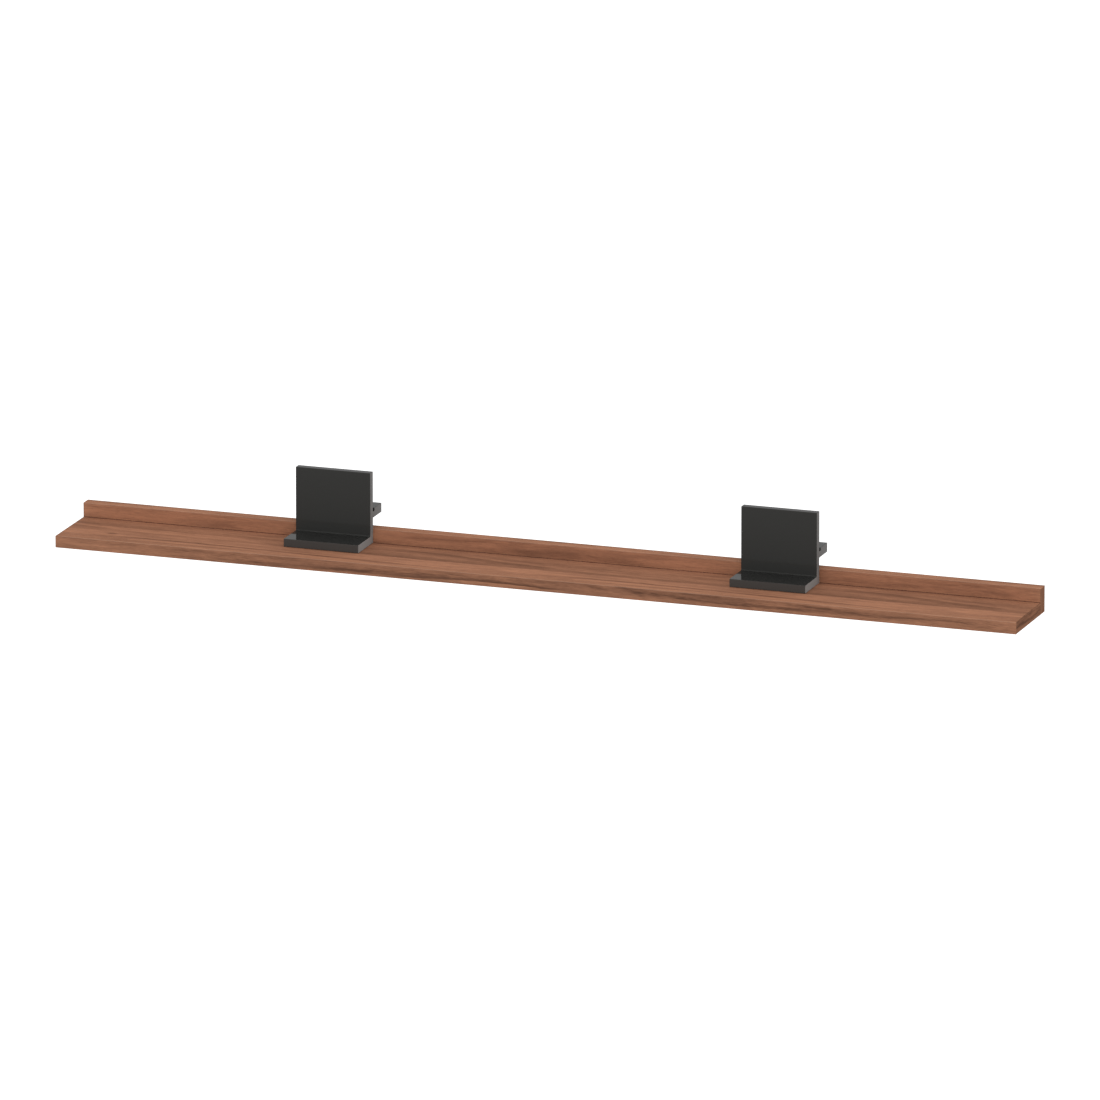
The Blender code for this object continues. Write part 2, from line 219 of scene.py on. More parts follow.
def walnut_print(tree, along, across, seed, base_tone, veins=(), shift=None, repeat=DECOR_REPEAT):
    """Return the colour and the surface height of the walnut print at a place along and across the grain."""
    circle = round_print(tree, along, repeat)
    bend = streaks(tree, circle, across, BEND_LENGTH, BEND_WIDTH, seed)
    bent = calc(tree, "MULTIPLY_ADD", bend, BEND_REACH, across)
    tone = base_tone
    for number, (length, width, strength) in enumerate(GRAIN_LAYERS, 1):
        noise = streaks(tree, circle, bent, length, width, seed + GRAIN_SEED_STEP * number)
        tone = calc(tree, "MULTIPLY_ADD", noise, strength, tone)

    wobble = streaks(tree, circle, across, WOBBLE_LENGTH, WOBBLE_WIDTH, seed + WOBBLE_SEED)
    wobbly = calc(tree, "MULTIPLY_ADD", wobble, WOBBLE_REACH, across)
    fibres = streaks(tree, circle, bent, VEIN_FIBRE_LENGTH, VEIN_FIBRE_WIDTH, seed + VEIN_FIBRE_SEED)
    fibres = calc(tree, "MULTIPLY_ADD", fibres, VEIN_FIBRE_STRENGTH, 1.0)
    for strength, path, upper_fade, lower_fade in veins:
        on_vein = vein(tree, along, wobbly, repeat, path, upper_fade, lower_fade)
        tone = calc(tree, "MULTIPLY_ADD", calc(tree, "MULTIPLY", on_vein, fibres), -strength, tone)
    if shift is not None:
        tone = calc(tree, "ADD", tone, shift)

    color = blend_color(tree, tone, DECOR_DARK, DECOR_LIGHT)
    grey = streaks(tree, circle, bent, GREY_LENGTH, GREY_WIDTH, seed + GREY_SEED)
    grey = smooth_range(tree, grey, GREY_FROM, GREY_TO, 0.0, GREY_SHARE)
    color = blend_color(tree, grey, color, DECOR_GREY)
    pores = streaks(tree, circle, bent, PORE_LENGTH, PORE_WIDTH, seed + PORE_SEED, PORE_DETAIL)
    pores = smooth_range(tree, pores, PORE_FROM, PORE_TO)
    color = blend_color(tree, calc(tree, "MULTIPLY", pores, PORE_SHARE), color, DECOR_DARK)
    return color, calc(tree, "MULTIPLY", pores, -1.0)


def finish_decor(tree, shader, color, height):
    """Give the shader the print's colour, its embossed pores and a sheen that follows them."""
    tree.links.new(color, shader.inputs["Base Color"])
    inputs = {"Strength": PORE_BUMP, "Distance": PORE_DEPTH, "Height": height}
    bump = node(tree, "ShaderNodeBump", inputs)
    tree.links.new(bump.outputs[0], shader.inputs["Normal"])
    sheen = smooth_range(tree, height, -1.0, 0.0, PORE_ROUGHNESS, DECOR_ROUGHNESS)
    tree.links.new(sheen, shader.inputs["Roughness"])


def core_or_print(tree, place, distance_to_middle, half_thickness, color, height):
    """Show the chipboard core wherever a point lies inside the pressed sheets, and the print on them."""
    chips = node(tree, "ShaderNodeTexVoronoi", {"Vector": place, "Scale": 1.0 / CORE_CHIP_SIZE}).outputs
    core = blend_color(tree, chips["Distance"], CORE_DARK, CORE_LIGHT)
    inside = calc(tree, "LESS_THAN", distance_to_middle, half_thickness - SHEET_THICKNESS)
    flat = calc(tree, "SUBTRACT", 1.0, inside)
    return blend_color(tree, inside, color, core), calc(tree, "MULTIPLY", height, flat)


def dress(cad_node, material):
    """Give a CAD node its finished material."""
    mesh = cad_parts[cad_node].data
    mesh.materials.clear()
    mesh.materials.append(material)


board_low, board_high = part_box("shelf_board")
shelf_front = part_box("front_edge_band")[0].y
shelf_bottom = board_low.z
board_walnut, tree, shader, place, (x, y, z) = new_material("walnut_board", DECOR_ROUGHNESS, DECOR_GLOSS)
from_front = calc(tree, "SUBTRACT", y, shelf_front)

# The print shows planks side by side: the front one is paler up to its joint. A rear strip gets painted
# light.
joint = smooth_range(tree, x, LEFT_PLANK_FROM, LEFT_PLANK_TO, LEFT_PLANK_JOINT, PLANK_JOINT)
past_joint = calc(tree, "SUBTRACT", from_front, joint)
step = smooth_range(tree, x, LEFT_PLANK_FROM, LEFT_PLANK_TO, LEFT_PLANK_STEP, PLANK_STEP)
paler = smooth_range(tree, past_joint, 0.0, PLANK_JOINT_FADE, step, 0.0)
# Painted light: the rear strip along the upstand is lifted against the shade the upstand casts on it.
rear = smooth_range(tree, from_front, REAR_PAINTED_LIGHT_FROM, REAR_PAINTED_LIGHT_FROM + REAR_PAINTED_LIGHT_FADE, 0.0, REAR_PAINTED_LIGHT_STEP)
paler = calc(tree, "ADD", paler, rear)

# One small dark knot lies in the print near the left end.
knot_along = calc(tree, "DIVIDE", calc(tree, "SUBTRACT", x, KNOT_PLACE[0]), KNOT_LENGTH / 2)
knot_across = calc(tree, "DIVIDE", calc(tree, "SUBTRACT", from_front, KNOT_PLACE[1]), KNOT_WIDTH / 2)
knot_squares = [calc(tree, "POWER", share, 2.0) for share in (knot_along, knot_across)]
knot_distance = calc(tree, "ADD", *knot_squares)
knot = smooth_range(tree, knot_distance, KNOT_CORE, KNOT_RIM, -KNOT_STRENGTH, 0.0)
paler = calc(tree, "ADD", paler, knot)

# Each vein has its strength, which is below zero for a pale one, the points it runs through, and how far
# it fades above and below them. A point's first number is its place along the piece. The second is its
# distance from the front on the board, and its height over the underside on the other pieces.
board_veins = (
    (0.38, ((-0.260, 0.092), (-0.160, 0.088), (-0.110, 0.081), (-0.065, 0.074), (0.040, 0.066)),
     0.006, 0.016),
    (0.26, ((-0.400, 0.055), (-0.250, 0.057), (-0.170, 0.055), (-0.040, 0.055)), 0.010, 0.009),
    (0.25, ((-0.120, 0.056), (0.050, 0.056), (0.160, 0.057), (0.320, 0.056)), 0.010, 0.009),
    (0.14, ((-0.060, 0.007), (0.080, 0.009), (0.240, 0.008)), 0.014, 0.010),
    (0.54, ((-0.050, 0.023), (0.100, 0.029), (0.200, 0.028), (0.330, 0.023), (0.480, 0.017), (0.620, 0.012)),
     0.0035, 0.0070),
    (0.26, ((0.050, 0.010), (0.200, 0.014), (0.350, 0.011)), 0.0025, 0.0040),
    (0.16, ((-0.080, 0.089), (0.030, 0.087), (0.140, 0.084)), 0.005, 0.010),
)
color, height = walnut_print(tree, x, from_front, BOARD_SEED, BOARD_TONE, board_veins, paler)
from_middle = distance_to(tree, z, (board_low.z + board_high.z) / 2)
half_board = (board_high.z - board_low.z) / 2
color, height = core_or_print(tree, place, from_middle, half_board, color, height)
# A dark glue line along the board's back edge, deepened as painted shade where the board meets the upstand.
board_glue_and_shade_line = calc(tree, "GREATER_THAN", y, board_high.y - JOINT_GLUE_AND_SHADE_WIDTH)
color = blend_color(tree, board_glue_and_shade_line, color, JOINT_GLUE_AND_SHADE_COLOR)
finish_decor(tree, shader, color, height)
dress("shelf_board", board_walnut)


# Edge bands of the board
# Plastic bands 1 mm thick with the same walnut print, glued to the front and the two ends. Their long
# edges are scraped round after gluing. The print runs along each band as it comes off its roll.

BAND_ROUNDING = 0.00055
BAND_ROUNDING_STEPS = 5
GLUE_LINE = 0.00004
BAND_ROUGHNESS = 0.50
BAND_GLOSS = 0.005
END_BAND_GLOSS = 0.001
BAND_REPEAT = 1.900
FRONT_BAND_SEED = 23.0
FRONT_BAND_TONE = 0.55
END_BAND_SEED = 31.0
END_BAND_TONE = 0.31
SCRAPED_EDGE_HIGHLIGHT_COLOR = (0.62, 0.41, 0.31)
SCRAPED_EDGE_HIGHLIGHT_SHARE = 0.20
FLAT_FACE_NORMAL = 0.99999
SHARP_EDGE_ANGLE = 32.0


def add_object(name, data):
    """Put a new object with the given data into the scene."""
    made = bpy.data.objects.new(name, data)
    bpy.context.scene.collection.objects.link(made)
    return made


def shade_roundings(mesh):
    """Shade roundings smooth, and keep the faces flat that lie square to an axis."""
    mesh.shade_smooth()
    mesh.set_sharp_from_angle(angle=math.radians(SHARP_EDGE_ANGLE))
    for face in mesh.polygons:
        face.use_smooth = max(abs(part) for part in face.normal) < FLAT_FACE_NORMAL


def band_piece(name, low, high, rounded, material):
    """Return a band between two corners, with the edges rounded that are named by their two sides."""
    sides = {
        "left": (0, low.x),
        "right": (0, high.x),
        "front": (1, low.y),
        "back": (1, high.y),
        "bottom": (2, low.z),
        "top": (2, high.z),
    }
    mesh = bpy.data.meshes.new(name)
    shape = bmesh.new()
    size = Matrix.Diagonal((*(high - low), 1.0))
    bmesh.ops.create_cube(shape, size=1.0, matrix=Matrix.Translation((low + high) / 2) @ size)

    def lies_on(edge, side):
        axis, level = sides[side]
        return all(abs(corner.co[axis] - level) < GLUE_LINE / 4 for corner in edge.verts)

    def is_rounded(edge):
        return any(all(lies_on(edge, side) for side in pair.split()) for pair in rounded)

    picked = [edge for edge in shape.edges if is_rounded(edge)]
    bmesh.ops.bevel(
        shape, geom=picked, offset=BAND_ROUNDING, segments=BAND_ROUNDING_STEPS, profile=0.5, affect="EDGES"
    )
    shape.to_mesh(mesh)
    shape.free()
    mesh.materials.append(material)
    shade_roundings(mesh)
    return add_object(name, mesh)


def place_band(cad_node, rounded, material, grow):
    """Make a band from its CAD node's box, grown over the glue gap, and put it in place."""
    low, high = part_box(cad_node)
    band = band_piece(cad_node + "_glued", low - Vector(grow[0]), high + Vector(grow[1]), rounded, material)
    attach(band, "root")
    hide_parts(cad_node)


def pale_edge_with_painted_highlight(tree, color, across, edge):
    """Make the print paler along one edge of a band: partly the plastic whitened by the scraper, partly a
    painted highlight on the rounding.
    """
    edge_highlight = calc(tree, "LESS_THAN", distance_to(tree, across, edge), BAND_ROUNDING)
    edge_highlight = calc(tree, "MULTIPLY", edge_highlight, SCRAPED_EDGE_HIGHLIGHT_SHARE)
    return blend_color(tree, edge_highlight, color, SCRAPED_EDGE_HIGHLIGHT_COLOR)


glue_gap = board_low.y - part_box("front_edge_band")[1].y - GLUE_LINE
joint_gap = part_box("upstand")[0].y - board_high.y - GLUE_LINE

front_material, tree, shader, _, (x, _, z) = new_material("walnut_band_front", BAND_ROUGHNESS, BAND_GLOSS)
front_veins = (
    (0.16, ((-0.500, 0.0105), (-0.100, 0.0125), (0.150, 0.0130), (0.350, 0.0110), (0.720, 0.0115)),
     0.0130, 0.0075),
    (0.50, ((-0.235, 0.0032), (-0.165, 0.0046), (-0.115, 0.0068), (-0.065, 0.0073), (-0.015, 0.0062),
            (0.035, 0.0048), (0.095, 0.0038)), 0.0048, 0.0014),
    (-0.16, ((-0.150, 0.0036), (-0.065, 0.0050), (0.010, 0.0038)), 0.0012, 0.0025),
    (0.32, ((-0.360, 0.0064), (-0.220, 0.0072), (-0.110, 0.0110)), 0.0060, 0.0070),
    (0.22, ((0.020, 0.0182), (0.075, 0.0160), (0.095, 0.0135), (0.130, 0.0095)), 0.0040, 0.0025),
    (0.31, ((0.120, 0.0200), (0.150, 0.0158), (0.162, 0.0112), (0.185, 0.0030)), 0.0080, 0.0060),
    (0.31, ((0.150, 0.0118), (0.210, 0.0096), (0.240, 0.0084), (0.270, 0.0072), (0.340, 0.0064),
            (0.450, 0.0070)), 0.0050, 0.0026),
    (0.10, ((0.200, 0.0172), (0.270, 0.0150), (0.350, 0.0136)), 0.0030, 0.0020),
    (0.27, ((0.380, 0.0140), (0.460, 0.0126), (0.490, 0.0110), (0.515, 0.0090), (0.545, 0.0075)),
     0.0050, 0.0040),
    (0.22, ((0.370, 0.0072), (0.450, 0.0078), (0.520, 0.0070)), 0.0040, 0.0040),
    (0.26, ((0.500, 0.0056), (0.555, 0.0082), (0.585, 0.0096), (0.620, 0.0102), (0.720, 0.0098)),
     0.0032, 0.0018),
    (0.26, ((-0.620, 0.0140), (-0.480, 0.0138), (-0.320, 0.0150)), 0.0050, 0.0060),
    (0.12, ((-0.600, 0.0030), (-0.480, 0.0036), (-0.360, 0.0030)), 0.0080, 0.0060),
    (0.23, ((-0.480, 0.0056), (-0.350, 0.0062), (-0.220, 0.0064)), 0.0035, 0.0060),
    (0.12, ((-0.770, 0.0080), (-0.690, 0.0120), (-0.600, 0.0132)), 0.0030, 0.0018),
    (-0.20, ((-0.900, 0.0090), (-0.730, 0.0090), (-0.540, 0.0105)), 0.0100, 0.0100),
)
band_height = calc(tree, "SUBTRACT", z, shelf_bottom)
color, height = walnut_print(
    tree, x, band_height, FRONT_BAND_SEED, FRONT_BAND_TONE, front_veins, repeat=BAND_REPEAT
)
# Painted highlight, with the scraper's whitening, along the board's front top edge.
color = pale_edge_with_painted_highlight(tree, color, z, board_high.z)
finish_decor(tree, shader, color, height)

end_material, tree, shader, _, (_, y, z) = new_material("walnut_band_ends", BAND_ROUGHNESS, END_BAND_GLOSS)
end_veins = (
    (0.34, ((-0.200, 0.0115), (-0.117, 0.0097), (-0.087, 0.0068), (-0.060, 0.0057), (-0.020, 0.0058)),
     0.0050, 0.0036),
    (-0.16, ((-0.070, 0.0120), (-0.030, 0.0130), (0.010, 0.0120)), 0.0090, 0.0040),
)
end_height = calc(tree, "SUBTRACT", z, shelf_bottom)
color, height = walnut_print(
    tree, y, end_height, END_BAND_SEED, END_BAND_TONE, end_veins, repeat=BAND_REPEAT
)
finish_decor(tree, shader, color, height)

front_edges = ("front top", "front bottom", "front left", "front right")
place_band("front_edge_band", front_edges, front_material, ((0, 0, 0), (0, glue_gap, 0)))
left_edges = ("left top", "left bottom")
right_edges = ("right top", "right bottom")
place_band("board_left_end_band", left_edges, end_material, ((0, 0, 0), (glue_gap, joint_gap, 0)))
place_band("board_right_end_band", right_edges, end_material, ((glue_gap, 0, 0), (0, joint_gap, 0)))


# Upstand
# A strip of the same decor board, 40 mm high over its bands, that stands behind the board and keeps
# things from the wall. The board is dowelled and glued to its front face.

UPSTAND_SEED = 47.0
UPSTAND_TONE = 0.80

upstand_low, upstand_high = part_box("upstand")
upstand_walnut, tree, shader, place, (x, y, z) = new_material("walnut_upstand", DECOR_ROUGHNESS, DECOR_GLOSS)
upstand_veins = (
    (0.24, ((-0.250, 0.0300), (-0.185, 0.0318), (-0.160, 0.0330), (-0.100, 0.0348)), 0.0024, 0.0045),
    (-0.13, ((-0.320, 0.0270), (-0.230, 0.0290), (-0.140, 0.0290)), 0.0090, 0.0090),
    (0.38, ((-0.110, 0.0225), (-0.020, 0.0262), (0.040, 0.0270), (0.100, 0.0255), (0.170, 0.0225)),
     0.0060, 0.0180),
    (-0.14, ((-0.170, 0.0290), (-0.080, 0.0302), (0.000, 0.0300)), 0.0040, 0.0050),
    (-0.12, ((0.080, 0.0260), (0.170, 0.0270), (0.260, 0.0260)), 0.0060, 0.0060),
    (0.16, ((0.500, 0.0325), (0.600, 0.0338), (0.700, 0.0330)), 0.0030, 0.0045),
    (0.22, ((0.300, 0.0250), (0.450, 0.0270), (0.600, 0.0240)), 0.0050, 0.0110),
    (0.10, ((0.600, 0.0280), (0.710, 0.0290), (0.820, 0.0280)), 0.0100, 0.0120),
    (-0.10, ((-0.850, 0.0280), (-0.700, 0.0290), (-0.550, 0.0280)), 0.0080, 0.0080),
)
upstand_height = calc(tree, "SUBTRACT", z, shelf_bottom)
color, height = walnut_print(
    tree, x, upstand_height, UPSTAND_SEED, UPSTAND_TONE, upstand_veins, repeat=BAND_REPEAT
)
upstand_middle = (upstand_low.y + upstand_high.y) / 2
from_middle = distance_to(tree, y, upstand_middle)
half_upstand = (upstand_high.y - upstand_low.y) / 2
color, height = core_or_print(tree, place, from_middle, half_upstand, color, height)
# A dark glue line at the upstand's foot, deepened as painted shade where the board meets it.
upstand_glue_and_shade_line = calc(tree, "LESS_THAN", distance_to(tree, z, board_high.z), JOINT_GLUE_AND_SHADE_WIDTH)
upstand_glue_and_shade_line = calc(tree, "MULTIPLY", upstand_glue_and_shade_line, calc(tree, "LESS_THAN", y, upstand_low.y + SHEET_THICKNESS))
color = blend_color(tree, upstand_glue_and_shade_line, color, JOINT_GLUE_AND_SHADE_COLOR)
finish_decor(tree, shader, color, height)
dress("upstand", upstand_walnut)


# Edge bands of the upstand
# The same 1 mm band on all four edges. On the top and bottom the print runs lengthwise, and on the two
# ends it runs upright.

TOP_BAND_SEED = 59.0
TOP_BAND_TONE = 0.69
TOP_BAND_REAR_STEP = -0.16
UPRIGHT_BAND_SEED = 67.0
UPRIGHT_BAND_TONE = 0.34

top_material, tree, shader, _, (x, y, _) = new_material("walnut_band_top", BAND_ROUGHNESS, BAND_GLOSS)
from_upstand_front = calc(tree, "SUBTRACT", y, upstand_low.y)
rear = smooth_range(tree, y, upstand_middle, upstand_high.y, 0.0, TOP_BAND_REAR_STEP)
color, height = walnut_print(tree, x, from_upstand_front, TOP_BAND_SEED, TOP_BAND_TONE, shift=rear)
# Painted highlight, with the scraper's whitening, along the top band's front edge.
color = pale_edge_with_painted_highlight(tree, color, y, upstand_low.y)
finish_decor(tree, shader, color, height)

upright_material, tree, shader, _, axes = new_material("walnut_band_upright", BAND_ROUGHNESS, END_BAND_GLOSS)
_, y, z = axes
from_upstand_front = calc(tree, "SUBTRACT", y, upstand_low.y)
color, height = walnut_print(tree, z, from_upstand_front, UPRIGHT_BAND_SEED, UPRIGHT_BAND_TONE)
finish_decor(tree, shader, color, height)

top_edges = ("top front", "top back", "top left", "top right")
bottom_edges = ("bottom back", "bottom left", "bottom right")
place_band("upstand_top_band", top_edges, top_material, ((0, 0, glue_gap), (0, 0, 0)))
place_band("upstand_bottom_band", bottom_edges, top_material, ((0, 0, 0), (0, 0, glue_gap)))
left_edges = ("left front", "left back")
right_edges = ("right front", "right back")
place_band("upstand_left_end_band", left_edges, upright_material, ((0, 0, 0), (glue_gap, 0, 0)))
place_band("upstand_right_end_band", right_edges, upright_material, ((glue_gap, 0, 0), (0, 0, 0)))


# Joint dowels
# Fluted beech dowels, 8 mm thick and 25 mm long, in a row at the middle of the board's thickness. They
# are glued half into the board's back edge and half into the upstand. Brown glue fills the seam.

DOWEL_CHAMFER = 0.0008
DOWEL_FLUTES = 14
STEPS_PER_FLUTE = 8
FLUTE_DEPTH = 0.0003
BROKEN_EDGE_ANGLE = 60.0
BROKEN_EDGE_STEPS = 3
BEECH_LIGHT = (0.62, 0.43, 0.27)
BEECH_DARK = (0.48, 0.31, 0.18)
BEECH_ROUGHNESS = 0.6
BEECH_GLOSS = 0.3
BEECH_FIBRE_WIDTH = 0.0038
BEECH_FIBRE_STRETCH = 12.0
BEECH_FIBRE_DETAIL = 3.0
FILLER_LIGHT = (0.19, 0.095, 0.062)
FILLER_DARK = (0.12, 0.060, 0.040)
FILLER_DEPTH = 0.0001
FILLER_ROUGHNESS = 0.6
FILLER_GLOSS = 0.05
FILLER_LUMP_SIZE = 0.003


def shape_tree(name, inputs):
    """Return a new geometry tree with named inputs for its sizes, and its two end nodes."""
    tree = bpy.data.node_groups.new(name, "GeometryNodeTree")
    tree.interface.new_socket("Geometry", in_out="INPUT", socket_type="NodeSocketGeometry")
    for socket, kind in inputs.items():
        tree.interface.new_socket(socket, in_out="INPUT", socket_type=kind)
    tree.interface.new_socket("Geometry", in_out="OUTPUT", socket_type="NodeSocketGeometry")
    return tree, tree.nodes.new("NodeGroupInput"), tree.nodes.new("NodeGroupOutput")


def end_tree(tree, group_in, group_out, geometry):
    """Close a geometry tree with Realize Instances and Set Material."""
    whole = node(tree, "GeometryNodeRealizeInstances", {0: geometry})
    finish = {"Geometry": whole.outputs[0], "Material": group_in.outputs["Material"]}
    painted = node(tree, "GeometryNodeSetMaterial", finish)
    tree.links.new(painted.outputs[0], group_out.inputs[0])


def line_mesh(name, points, values, closed=False):
    """Return a mesh line through the points, with named numbers on each point."""
    mesh = bpy.data.meshes.new(name)
    edges = [(index, index + 1) for index in range(len(points) - 1)]
    if closed:
        edges.append((len(points) - 1, 0))
    mesh.from_pydata(points, edges, [])
    for value_name, numbers in values.items():
        mesh.attributes.new(value_name, "FLOAT", "POINT").data.foreach_set("value", numbers)
    return mesh


def point_number(tree, name):
    """Return a number by its name, as the points of the line carry it."""
    return node(tree, "GeometryNodeInputNamedAttribute", {"Name": name}, data_type="FLOAT").outputs[0]


def unit_ring(tree, steps):
    """Return a circle one metre in radius, round Z."""
    return node(tree, "GeometryNodeCurvePrimitiveCircle", {"Resolution": steps, "Radius": 1.0}).outputs[0]


def sweep(tree, axis, ring, radius):
    """Return the closed skin of a ring moved along an axis, scaled to the radius at each of its points."""
    inputs = {"Curve": axis, "Profile Curve": ring, "Scale": radius, "Fill Caps": True}
    return node(tree, "GeometryNodeCurveToMesh", inputs).outputs[0]


def carve(tree, shape, outwards, depth):
    """Return a shape with each point moved inwards by its depth, against the direction outwards."""
    inputs = {0: outwards, "Scale": calc(tree, "MULTIPLY", depth, -1.0)}
    offset = node(tree, "ShaderNodeVectorMath", inputs, operation="SCALE").outputs[0]
    return node(tree, "GeometryNodeSetPosition", {"Geometry": shape, "Offset": offset}).outputs[0]


def grow_piece(name, start_mesh, tree, values, edge_width=0.0):
    """Run a geometry tree on a mesh with the given sizes, and return the result as one plain piece."""
    base = add_object(name + "_base", start_mesh)
    modifier = base.modifiers.new("shape", "NODES")
    modifier.node_group = tree
    for socket in tree.interface.items_tree:
        if socket.in_out == "INPUT" and socket.name in values:
            modifier[socket.identifier] = values[socket.name]
    if edge_width:
        broken = base.modifiers.new("broken edges", "BEVEL")
        broken.limit_method = "ANGLE"
        broken.angle_limit = math.radians(BROKEN_EDGE_ANGLE)
        broken.width = edge_width
        broken.segments = BROKEN_EDGE_STEPS
        broken.use_clamp_overlap = False
    bpy.context.view_layer.update()
    evaluated = base.evaluated_get(bpy.context.evaluated_depsgraph_get())
    mesh = bpy.data.meshes.new_from_object(evaluated)
    mesh.name = name
    bpy.data.objects.remove(base, do_unlink=True)
    shade_roundings(mesh)
    return add_object(name, mesh)


def dowel_row_tree():
    """The tree of a row of dowels: one fluted rod, repeated along X."""
    inputs = {
        "Flutes": "NodeSocketInt",
        "Flute Depth": "NodeSocketFloat",
        "Count": "NodeSocketInt",
        "First": "NodeSocketVector",
        "Step": "NodeSocketVector",
        "Material": "NodeSocketMaterial",
    }
    tree, group_in, group_out = shape_tree("dowel_row", inputs)
    sizes = group_in.outputs
    rod = node(tree, "GeometryNodeMeshToCurve", {0: sizes["Geometry"]}).outputs[0]

    ring = unit_ring(tree, STEPS_PER_FLUTE * DOWEL_FLUTES)
    spot = node(tree, "GeometryNodeInputPosition").outputs[0]
    axes = node(tree, "ShaderNodeSeparateXYZ", {0: spot}).outputs
    angle = calc(tree, "ARCTAN2", axes[1], axes[0])
    groove = calc(tree, "COSINE", calc(tree, "MULTIPLY", angle, sizes["Flutes"]))
    depth = calc(tree, "MULTIPLY", calc(tree, "MAXIMUM", groove, 0.0), sizes["Flute Depth"])
    fluted = carve(tree, ring, spot, depth)

    dowel = sweep(tree, rod, fluted, point_number(tree, "radius"))
    places = {"Count": sizes["Count"], "Start Location": sizes["First"], "Offset": sizes["Step"]}
    row = node(tree, "GeometryNodeMeshLine", places).outputs[0]
    dowels = node(tree, "GeometryNodeInstanceOnPoints", {"Points": row, "Instance": dowel}).outputs[0]
    end_tree(tree, group_in, group_out, dowels)
    return tree


def plain_noise(tree, place, size, detail=2.0, roughness=0.5):
    """Return noise about one half, in lumps of one size."""
    inputs = {"Vector": place, "Scale": 1.0 / size, "Detail": detail, "Roughness": roughness}
    return node(tree, "ShaderNodeTexNoise", inputs).outputs[0]


beech, tree, shader, place, _ = new_material("beech", BEECH_ROUGHNESS, BEECH_GLOSS)
drawn_out = {"Vector": place, "Scale": (1.0, 1.0 / BEECH_FIBRE_STRETCH, 1.0)}
drawn_out = node(tree, "ShaderNodeMapping", drawn_out).outputs[0]
fibres = plain_noise(tree, drawn_out, BEECH_FIBRE_WIDTH, detail=BEECH_FIBRE_DETAIL)
tree.links.new(blend_color(tree, fibres, BEECH_DARK, BEECH_LIGHT), shader.inputs["Base Color"])

dowel_names = sorted(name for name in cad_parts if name.startswith("joint_dowel_"))
dowel_low, dowel_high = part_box(dowel_names[0])
last_dowel_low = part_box(dowel_names[-1])[0]
dowel_radius = (dowel_high.z - dowel_low.z) / 2
dowel_length = dowel_high.y - dowel_low.y
first_dowel = Vector(((dowel_low.x + dowel_high.x) / 2, dowel_low.y, (dowel_low.z + dowel_high.z) / 2))
dowel_step = Vector(((last_dowel_low.x - dowel_low.x) / (len(dowel_names) - 1), 0.0, 0.0))
rod_ends = (0.0, DOWEL_CHAMFER, dowel_length - DOWEL_CHAMFER, dowel_length)
rod_radii = (dowel_radius - DOWEL_CHAMFER, dowel_radius, dowel_radius, dowel_radius - DOWEL_CHAMFER)
rod_line = line_mesh("dowel_line", [(0.0, distance, 0.0) for distance in rod_ends], {"radius": rod_radii})
dowel_sizes = {
    "Flutes": DOWEL_FLUTES,
    "Flute Depth": FLUTE_DEPTH / dowel_radius,
    "Count": len(dowel_names),
    "First": first_dowel,
    "Step": dowel_step,
    "Material": beech,
}
dowels = grow_piece("joint_dowels_fluted", rod_line, dowel_row_tree(), dowel_sizes)
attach(dowels, "root")
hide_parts(*dowel_names)

filler, tree, shader, place, _ = new_material("joint_filler", FILLER_ROUGHNESS, FILLER_GLOSS)
lumps = plain_noise(tree, place, FILLER_LUMP_SIZE)
tree.links.new(blend_color(tree, lumps, FILLER_DARK, FILLER_LIGHT), shader.inputs["Base Color"])
seam_low = Vector((board_low.x, board_high.y + GLUE_LINE, board_low.z + FILLER_DEPTH))
seam_high = Vector((board_high.x, upstand_low.y - GLUE_LINE, board_high.z - FILLER_DEPTH))
seam = band_piece("joint_filler_line", seam_low, seam_high, (), filler)
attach(seam, "root")


# Brackets
# Two lengths of one extruded metal profile: a flange on the board, a plate in front of the upstand and
# a hook arm behind it. They are painted anthracite under a smoked clear coat. The sawn ends are paler as
# bare metal and as painted light, more so low down, the flange's front face has painted light, and the
# groove painted shade.

FLANGE_THICKNESS = 0.012
PLATE_THICKNESS = 0.012
PLATE_OVER_ARM = 0.057
ARM_HEIGHT = 0.014
ARM_REACH = 0.037
GROOVE_WIDTH = 0.006
GROOVE_DEPTH = 0.0045
INNER_FILLET = 0.002
GROOVE_FILLET = 0.0005
CORNER_ROUNDING = 0.0004
CUT_END_EDGE = 0.0003
PROFILE_STEPS = 8
ROUND_STEPS = 32
MERGE_DISTANCE = 0.000001
HOLE_DEPTH = 0.0085
HOLE_RADIUS = 0.0033
PAINT_COLOR = (0.063, 0.063, 0.060)
PAINT_DUST = (0.070, 0.070, 0.067)
PAINT_ROUGHNESS = 0.16
SMOKED_LAYER_TINT = (0.64, 0.64, 0.64)
SMOKED_LAYER_IOR = 1.12
SMOKED_LAYER_ROUGHNESS = 0.07
PAINT_WEAR = 0.04
CLOUD_SIZE = 0.025
CLOUD_DETAIL = 4.0
CLOUD_NOISE_ROUGHNESS = 0.6
CLOUD_FROM = 0.3
CLOUD_TO = 0.7
SPECK_SIZE = 0.0011
DUST_FROM = 0.55
DUST_TO = 0.75
DUST_SHARE = 0.6
SAWN_END_AND_PAINTED_LIGHT_COLOR = (0.190, 0.188, 0.185)
SAWN_END_LOW_PAINTED_LIGHT_COLOR = (0.300, 0.300, 0.296)
SAWN_END_PAINTED_LIGHT_FROM = 0.026
SAWN_END_PAINTED_LIGHT_TO = 0.004
CUT_END_ROUGHNESS = 0.42
CUT_END_DEPTH = 0.00002
FRONT_FACE_PAINTED_LIGHT_COLOR = (0.114, 0.108, 0.102)
FRONT_FACE_PAINTED_LIGHT_DEPTH = 0.0001
